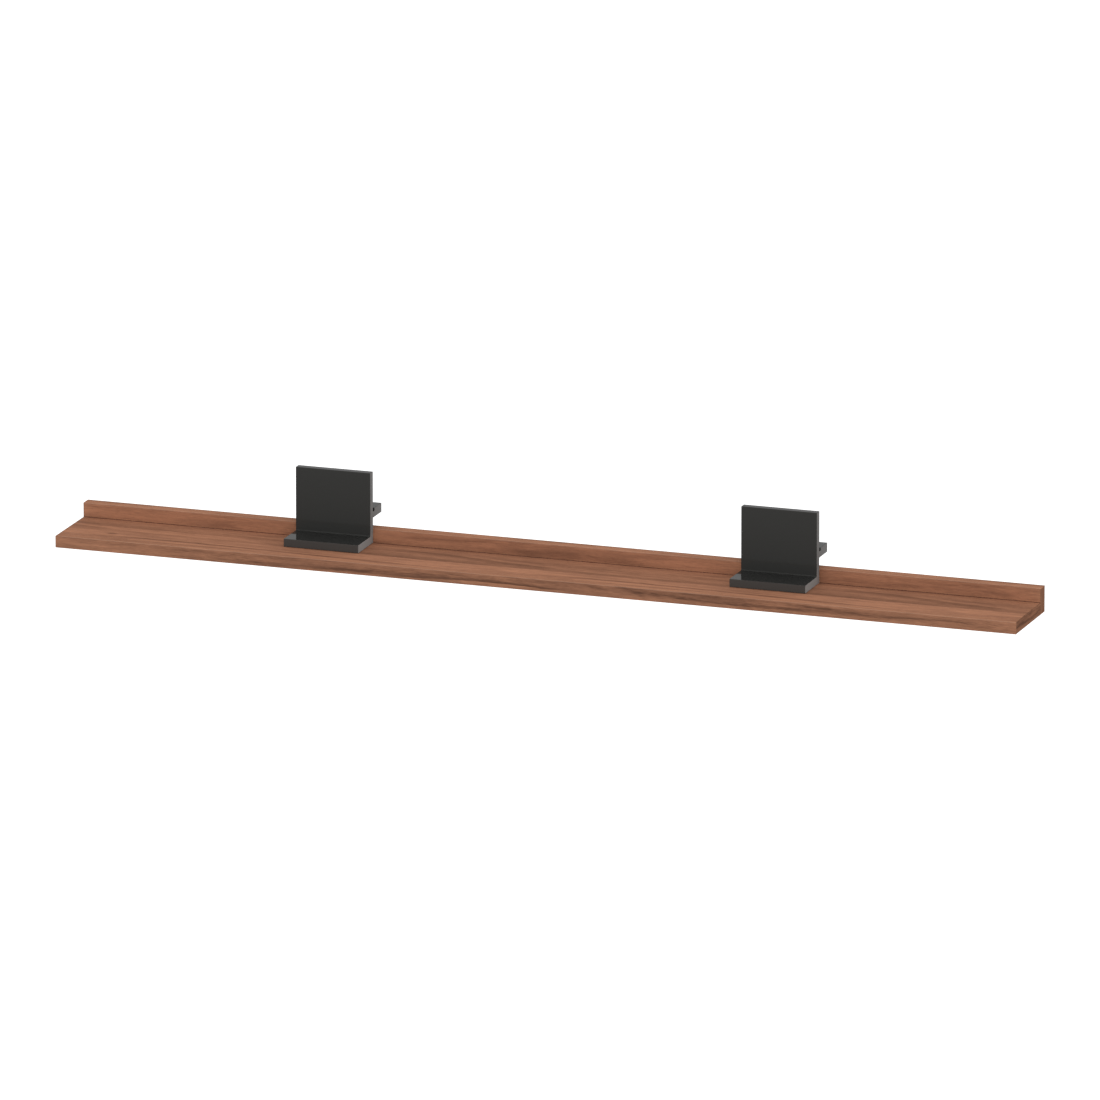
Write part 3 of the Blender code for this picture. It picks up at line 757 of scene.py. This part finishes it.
GROOVE_PAINTED_SHADE_COLOR = (0.012, 0.012, 0.012)
ORANGE_PEEL_SIZE = 0.0016
ORANGE_PEEL_DETAIL = 1.0
ORANGE_PEEL_DEPTH = 0.000004
ORANGE_PEEL_BUMP = 0.5


def at_four_corners(tree, piece, length, width, middle):
    """Return a piece repeated at the four corners of a rectangle round a middle."""
    inputs = {"Size X": length, "Size Y": width, "Vertices X": 2, "Vertices Y": 2}
    grid = node(tree, "GeometryNodeMeshGrid", inputs).outputs[0]
    grid = node(tree, "GeometryNodeTransform", {"Geometry": grid, "Translation": middle}).outputs[0]
    return node(tree, "GeometryNodeInstanceOnPoints", {"Points": grid, "Instance": piece}).outputs[0]


def cut_away(tree, shape, cutter):
    """Return a shape less what the cutter takes out of it."""
    inputs = {0: shape, 1: cutter}
    return node(tree, "GeometryNodeMeshBoolean", inputs, operation="DIFFERENCE", solver="EXACT").outputs[0]


def bracket_tree():
    """The tree of an extruded bracket: a filleted flat profile, pushed out and stood up, with holes."""
    lengths = ("Left End", "Width", "Hole Radius", "Hole Depth", "Hole Spacing X", "Hole Spacing Y")
    inputs = {length: "NodeSocketFloat" for length in lengths}
    inputs.update({"Hole Middle": "NodeSocketVector", "Material": "NodeSocketMaterial"})
    tree, group_in, group_out = shape_tree("bracket_profile", inputs)
    sizes = group_in.outputs

    outline = node(tree, "GeometryNodeMeshToCurve", {0: sizes["Geometry"]}).outputs[0]
    rounding = {"Curve": outline, "Count": PROFILE_STEPS, "Radius": point_number(tree, "fillet")}
    outline = node(tree, "GeometryNodeFilletCurve", rounding, mode="POLY").outputs[0]
    end_face = node(tree, "GeometryNodeFillCurve", {"Curve": outline}, mode="NGONS").outputs[0]
    push = node(tree, "ShaderNodeCombineXYZ", {2: sizes["Width"]}).outputs[0]
    pushed = {"Mesh": end_face, "Offset": push, "Offset Scale": 1.0, "Individual": False}
    sides = node(tree, "GeometryNodeExtrudeMesh", pushed, mode="FACES").outputs[0]
    other_end = node(tree, "GeometryNodeFlipFaces", {0: end_face}).outputs[0]
    both = node(tree, "GeometryNodeJoinGeometry")
    tree.links.new(sides, both.inputs[0])
    tree.links.new(other_end, both.inputs[0])
    merge = {"Geometry": both.outputs[0], "Distance": MERGE_DISTANCE}
    closed = node(tree, "GeometryNodeMergeByDistance", merge).outputs[0]
    left_end = node(tree, "ShaderNodeCombineXYZ", {0: sizes["Left End"]}).outputs[0]
    upright = {"Geometry": closed, "Translation": left_end, "Rotation": (math.pi / 2, 0.0, math.pi / 2)}
    closed = node(tree, "GeometryNodeTransform", upright).outputs[0]

    through = calc(tree, "MULTIPLY", sizes["Hole Depth"], 2.0)
    drill = {"Vertices": ROUND_STEPS, "Radius": sizes["Hole Radius"], "Depth": through}
    drill = node(tree, "GeometryNodeMeshCylinder", drill, fill_type="NGON").outputs[0]
    length, width = sizes["Hole Spacing X"], sizes["Hole Spacing Y"]
    drills = at_four_corners(tree, drill, length, width, sizes["Hole Middle"])
    drills = node(tree, "GeometryNodeRealizeInstances", {0: drills}).outputs[0]
    end_tree(tree, group_in, group_out, cut_away(tree, closed, drills))
    return tree


def bracket_outline(low, high):
    """Return the profile's corners, lying flat, each with its rounding, from the CAD bracket's box."""
    plate_back = high.y - ARM_REACH
    plate_front = plate_back - PLATE_THICKNESS
    groove_back = plate_back + GROOVE_WIDTH
    flange_top = low.z + FLANGE_THICKNESS
    arm_top = high.z - PLATE_OVER_ARM
    arm_bottom = arm_top - ARM_HEIGHT
    groove_floor = arm_top - GROOVE_DEPTH
    corners = (
        (low.y, low.z, CORNER_ROUNDING),
        (plate_back, low.z, CORNER_ROUNDING),
        (plate_back, arm_bottom, INNER_FILLET),
        (high.y, arm_bottom, CORNER_ROUNDING),
        (high.y, arm_top, CORNER_ROUNDING),
        (groove_back, arm_top, CORNER_ROUNDING),
        (groove_back, groove_floor, GROOVE_FILLET),
        (plate_back, groove_floor, GROOVE_FILLET),
        (plate_back, high.z, CORNER_ROUNDING),
        (plate_front, high.z, CORNER_ROUNDING),
        (plate_front, flange_top, INNER_FILLET),
        (low.y, flange_top, CORNER_ROUNDING),
    )
    points = [(y, z, 0.0) for y, z, _ in corners]
    roundings = [rounding for _, _, rounding in corners]
    return line_mesh("bracket_outline", points, {"fillet": roundings}, closed=True)


paint, tree, shader, place, (x, y, z) = new_material("bracket_paint", PAINT_ROUGHNESS, 0.0)
clouds = plain_noise(tree, place, CLOUD_SIZE, CLOUD_DETAIL, CLOUD_NOISE_ROUGHNESS)
smoothest = PAINT_ROUGHNESS - PAINT_WEAR
roughest = PAINT_ROUGHNESS + PAINT_WEAR
worn = smooth_range(tree, clouds, CLOUD_FROM, CLOUD_TO, smoothest, roughest)
specks = plain_noise(tree, place, SPECK_SIZE)
dust = smooth_range(tree, specks, DUST_FROM, DUST_TO, 0.0, DUST_SHARE)

# Both brackets stand equally far from the shelf's middle, so the distance from it tells the ends of both.
bracket_low, bracket_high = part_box("right_bracket")
bracket_middle = (bracket_low.x + bracket_high.x) / 2
half_width = (bracket_high.x - bracket_low.x) / 2
sideways = distance_to(tree, calc(tree, "ABSOLUTE", x), bracket_middle)
cut_end = calc(tree, "GREATER_THAN", sideways, half_width - CUT_END_DEPTH)
# Painted light: the flange's front face is made paler than the rest of the paint, as if lit more strongly.
front_face_painted_light = calc(tree, "LESS_THAN", y, bracket_low.y + FRONT_FACE_PAINTED_LIGHT_DEPTH)
painted = blend_color(tree, dust, PAINT_COLOR, PAINT_DUST)
painted = blend_color(tree, front_face_painted_light, painted, FRONT_FACE_PAINTED_LIGHT_COLOR)
# Painted shade: the inside of the hook's groove is darkened where little light reaches.
groove_middle = bracket_high.y - ARM_REACH + GROOVE_WIDTH / 2
groove_top = bracket_high.z - PLATE_OVER_ARM
from_groove = distance_to(tree, y, groove_middle)
groove_painted_shade = calc(tree, "LESS_THAN", from_groove, GROOVE_WIDTH / 2 + CUT_END_DEPTH)
groove_painted_shade = calc(tree, "MULTIPLY", groove_painted_shade, calc(tree, "LESS_THAN", z, groove_top))
above_floor = calc(tree, "GREATER_THAN", z, groove_top - GROOVE_DEPTH - CUT_END_DEPTH)
groove_painted_shade = calc(tree, "MULTIPLY", groove_painted_shade, above_floor)
painted = blend_color(tree, groove_painted_shade, painted, GROOVE_PAINTED_SHADE_COLOR)
# The sawn ends are partly bare metal and partly painted light standing in for their bright reflection, paler
# still low down.
low_down_painted_light = smooth_range(tree, z, SAWN_END_PAINTED_LIGHT_TO, SAWN_END_PAINTED_LIGHT_FROM, 1.0, 0.0)
sawn_and_painted_light = blend_color(tree, low_down_painted_light, SAWN_END_AND_PAINTED_LIGHT_COLOR, SAWN_END_LOW_PAINTED_LIGHT_COLOR)
tree.links.new(blend_color(tree, cut_end, painted, sawn_and_painted_light), shader.inputs["Base Color"])
bare = node(tree, "ShaderNodeMix", {0: cut_end, 2: worn, 3: CUT_END_ROUGHNESS}).outputs[0]
tree.links.new(bare, shader.inputs["Roughness"])
tree.links.new(calc(tree, "SUBTRACT", 1.0, cut_end), shader.inputs["Coat Weight"])
shader.inputs["Coat Roughness"].default_value = SMOKED_LAYER_ROUGHNESS
shader.inputs["Coat IOR"].default_value = SMOKED_LAYER_IOR
shader.inputs["Coat Tint"].default_value = (*SMOKED_LAYER_TINT, 1.0)
peel = plain_noise(tree, place, ORANGE_PEEL_SIZE, detail=ORANGE_PEEL_DETAIL)
peel_bump = {"Strength": ORANGE_PEEL_BUMP, "Distance": ORANGE_PEEL_DEPTH, "Height": peel}
tree.links.new(node(tree, "ShaderNodeBump", peel_bump).outputs[0], shader.inputs["Normal"])

bracket_shape = bracket_tree()
for side in ("left", "right"):
    bracket_low, bracket_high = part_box(side + "_bracket")
    screw_boxes = [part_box(f"{side}_bracket_screw_{number}") for number in (1, 2, 3, 4)]
    middles = [(low + high) / 2 for low, high in screw_boxes]
    spacing = middles[3] - middles[0]
    hole_middle = (middles[0] + middles[3]) / 2
    hole_middle.z = bracket_low.z
    bracket_sizes = {
        "Left End": bracket_low.x,
        "Width": bracket_high.x - bracket_low.x,
        "Hole Radius": HOLE_RADIUS,
        "Hole Depth": HOLE_DEPTH,
        "Hole Middle": hole_middle,
        "Hole Spacing X": spacing.x,
        "Hole Spacing Y": spacing.y,
        "Material": paint,
    }
    outline = bracket_outline(bracket_low, bracket_high)
    bracket = grow_piece(side + "_bracket_profile", outline, bracket_shape, bracket_sizes, CUT_END_EDGE)
    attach(bracket, "root")
    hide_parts(side + "_bracket")


# Bracket screws
# Four countersunk M6 machine screws to a bracket, of blackened steel with a hexagon socket. They go up
# through the board from below and into the threaded holes of the flange.

SCREW_RADIUS = 0.003
SCREW_HEAD_RIM = 0.0004
SCREW_TIP_CHAMFER = 0.0006
THREAD_PITCH = 0.0010
THREAD_DEPTH = 0.0006
THREAD_FROM_HEAD = 0.0060
STEPS_PER_THREAD = 8
HEX_KEY_SIZE = 0.004
HEX_KEY_DEPTH = 0.0022
STEEL_COLOR = (0.055, 0.055, 0.058)
STEEL_WORN = (0.16, 0.16, 0.165)
STEEL_METAL = 0.9
STEEL_ROUGHNESS = 0.42
STEEL_WORN_ROUGHNESS = 0.30
STEEL_GLOSS = 0.5
SCUFF_SIZE = 0.0014
SCUFF_DETAIL = 3.0
SCUFF_FROM = 0.5
SCUFF_TO = 0.8
SCUFF_SHARE = 0.5


def screw_line(radius, head_radius, length):
    """Return the screw's axis from the head's face up, with its radius and its share of thread."""
    cone_top = SCREW_HEAD_RIM + head_radius - radius
    thread_end = length - SCREW_TIP_CHAMFER
    steps = round((thread_end - THREAD_FROM_HEAD) / THREAD_PITCH * STEPS_PER_THREAD)
    stations = [(0.0, head_radius, 0.0), (SCREW_HEAD_RIM, head_radius, 0.0), (cone_top, radius, 0.0)]
    for step in range(steps + 1):
        height = THREAD_FROM_HEAD + (thread_end - THREAD_FROM_HEAD) * step / steps
        stations.append((height, radius, 0.0 if step == 0 else 1.0))
    stations.append((length, radius - SCREW_TIP_CHAMFER, 0.0))
    points = [(0.0, 0.0, height) for height, _, _ in stations]
    values = {"radius": [item[1] for item in stations], "thread": [item[2] for item in stations]}
    return line_mesh("screw_line", points, values)


def screws_tree():
    """The tree of a bracket's screws: one turned screw with a helical thread and a socket, on a grid."""
    lengths = ("Thread Pitch", "Thread Depth", "Key Size", "Key Depth", "Spacing X", "Spacing Y")
    inputs = {length: "NodeSocketFloat" for length in lengths}
    inputs.update({"Middle": "NodeSocketVector", "Material": "NodeSocketMaterial"})
    tree, group_in, group_out = shape_tree("bracket_screws", inputs)
    sizes = group_in.outputs

    axis = node(tree, "GeometryNodeMeshToCurve", {0: sizes["Geometry"]}).outputs[0]
    turned = sweep(tree, axis, unit_ring(tree, ROUND_STEPS), point_number(tree, "radius"))

    spot = node(tree, "GeometryNodeInputPosition").outputs[0]
    axes = node(tree, "ShaderNodeSeparateXYZ", {0: spot}).outputs
    turns = calc(tree, "DIVIDE", calc(tree, "ARCTAN2", axes[1], axes[0]), math.tau)
    climb = calc(tree, "SUBTRACT", calc(tree, "DIVIDE", axes[2], sizes["Thread Pitch"]), turns)
    ridge = calc(tree, "MULTIPLY", calc(tree, "PINGPONG", climb, 0.5), 2.0)
    threaded = calc(tree, "MULTIPLY", ridge, point_number(tree, "thread"))
    depth = calc(tree, "MULTIPLY", threaded, sizes["Thread Depth"])
    outwards = node(tree, "ShaderNodeCombineXYZ", {0: axes[0], 1: axes[1]}).outputs[0]
    outwards = node(tree, "ShaderNodeVectorMath", {0: outwards}, operation="NORMALIZE").outputs[0]
    turned = carve(tree, turned, outwards, depth)

    corner_radius = calc(tree, "DIVIDE", sizes["Key Size"], math.sqrt(3))
    key = {"Vertices": 6, "Radius": corner_radius, "Depth": calc(tree, "MULTIPLY", sizes["Key Depth"], 2.0)}
    key = node(tree, "GeometryNodeMeshCylinder", key, fill_type="NGON").outputs[0]
    screw = cut_away(tree, turned, key)
    screws = at_four_corners(tree, screw, sizes["Spacing X"], sizes["Spacing Y"], sizes["Middle"])
    end_tree(tree, group_in, group_out, screws)
    return tree


steel, tree, shader, place, _ = new_material("blackened_steel", STEEL_ROUGHNESS, STEEL_GLOSS)
shader.inputs["Metallic"].default_value = STEEL_METAL
scuffs = plain_noise(tree, place, SCUFF_SIZE, detail=SCUFF_DETAIL)
scuffs = smooth_range(tree, scuffs, SCUFF_FROM, SCUFF_TO, 0.0, SCUFF_SHARE)
tree.links.new(blend_color(tree, scuffs, STEEL_COLOR, STEEL_WORN), shader.inputs["Base Color"])
rubbed = smooth_range(tree, scuffs, 0.0, SCUFF_SHARE, STEEL_ROUGHNESS, STEEL_WORN_ROUGHNESS)
tree.links.new(rubbed, shader.inputs["Roughness"])

screws_shape = screws_tree()
for side in ("left", "right"):
    screw_names = [f"{side}_bracket_screw_{number}" for number in (1, 2, 3, 4)]
    first_low, first_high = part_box(screw_names[0])
    last_low, last_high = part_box(screw_names[-1])
    middle = (first_low + last_high) / 2
    middle.z = first_low.z
    screw_sizes = {
        "Thread Pitch": THREAD_PITCH,
        "Thread Depth": THREAD_DEPTH,
        "Key Size": HEX_KEY_SIZE,
        "Key Depth": HEX_KEY_DEPTH,
        "Middle": middle,
        "Spacing X": last_low.x - first_low.x,
        "Spacing Y": last_low.y - first_low.y,
        "Material": steel,
    }
    axis_line = screw_line(SCREW_RADIUS, (first_high.x - first_low.x) / 2, first_high.z - first_low.z)
    screws = grow_piece(side + "_bracket_screws", axis_line, screws_shape, screw_sizes)
    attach(screws, "root")
    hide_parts(*screw_names)


# Studio
# A camera at the photograph's angle, a large soft lamp above the front, and a pale floor 1.4 m below,
# which is clear from its underside. The world is white and lights the shelf evenly.

CAMERA_PLACE = (8.4479, -24.1236, 6.7806)
CAMERA_TARGET = (0.02095, -0.11339, 0.03789)
CAMERA_LENS = 584.9
SENSOR_WIDTH = 36.0
CAMERA_REACH = 200.0
FLOOR_LEVEL = -1.4
FLOOR_SIZE = 60.0
FLOOR_COLOR = (0.90, 0.90, 0.90)
FLOOR_WHITE = 0.45
WORLD_COLOR = (1.0, 1.0, 1.0)
WORLD_LIGHT = 0.93
KEY_PLACE = (0.7, -2.85, 3.5)
KEY_TARGET = (0.0, 0.0, 0.0)
KEY_SIZE = 2.6
KEY_POWER = 25.0


def aim(thing, place, target):
    """Put a camera or a lamp at a place, and turn it to its target."""
    thing.location = place
    thing.rotation_euler = (Vector(target) - Vector(place)).to_track_quat("-Z", "Y").to_euler()


def seen_directly(tree):
    """Return 1 for rays from the camera and for mirrored and transmitted ones, and 0 for the light's own."""
    rays = node(tree, "ShaderNodeLightPath").outputs
    seen = calc(tree, "MAXIMUM", rays["Is Camera Ray"], rays["Is Glossy Ray"])
    return calc(tree, "MAXIMUM", seen, rays["Is Transmission Ray"])


camera_data = bpy.data.cameras.new("photo_camera")
camera_data.lens = CAMERA_LENS
camera_data.sensor_width = SENSOR_WIDTH
camera_data.clip_end = CAMERA_REACH
camera = add_object("photo_camera", camera_data)
aim(camera, CAMERA_PLACE, CAMERA_TARGET)
bpy.context.scene.camera = camera

floor_mesh = bpy.data.meshes.new("studio_floor")
shape = bmesh.new()
floor_place = Matrix.Translation((0.0, 0.0, FLOOR_LEVEL))
bmesh.ops.create_grid(shape, x_segments=1, y_segments=1, size=FLOOR_SIZE / 2, matrix=floor_place)
shape.to_mesh(floor_mesh)
shape.free()
floor = add_object("studio_floor", floor_mesh)
floor_material = bpy.data.materials.new("studio_floor")
floor_material.use_nodes = True
tree = floor_material.node_tree
tree.nodes.clear()
matt = node(tree, "ShaderNodeBsdfDiffuse", {"Color": (*FLOOR_COLOR, 1.0)}).outputs[0]
glow_strength = calc(tree, "MULTIPLY", seen_directly(tree), FLOOR_WHITE)
glow = node(tree, "ShaderNodeEmission", {"Strength": glow_strength}).outputs[0]
upper_side = node(tree, "ShaderNodeAddShader", {0: matt, 1: glow}).outputs[0]
lower_side = node(tree, "ShaderNodeBsdfTransparent").outputs[0]
from_below = node(tree, "ShaderNodeNewGeometry").outputs["Backfacing"]
surface = node(tree, "ShaderNodeMixShader", {0: from_below, 1: upper_side, 2: lower_side}).outputs[0]
node(tree, "ShaderNodeOutputMaterial", {"Surface": surface})
floor_mesh.materials.append(floor_material)

key_data = bpy.data.lights.new("key_softbox", "AREA")
key_data.shape = "SQUARE"
key_data.size = KEY_SIZE
key_data.energy = KEY_POWER
key = add_object("key_softbox", key_data)
aim(key, KEY_PLACE, KEY_TARGET)

world = bpy.data.worlds.new("white_studio")
bpy.context.scene.world = world
world.use_nodes = True
tree = world.node_tree
tree.nodes.clear()
strength = smooth_range(tree, seen_directly(tree), 0.0, 1.0, WORLD_LIGHT, 1.0)
sky = node(tree, "ShaderNodeBackground", {"Color": (*WORLD_COLOR, 1.0), "Strength": strength}).outputs[0]
node(tree, "ShaderNodeOutputWorld", {"Surface": sky})

bpy.context.scene.view_settings.view_transform = "Standard"
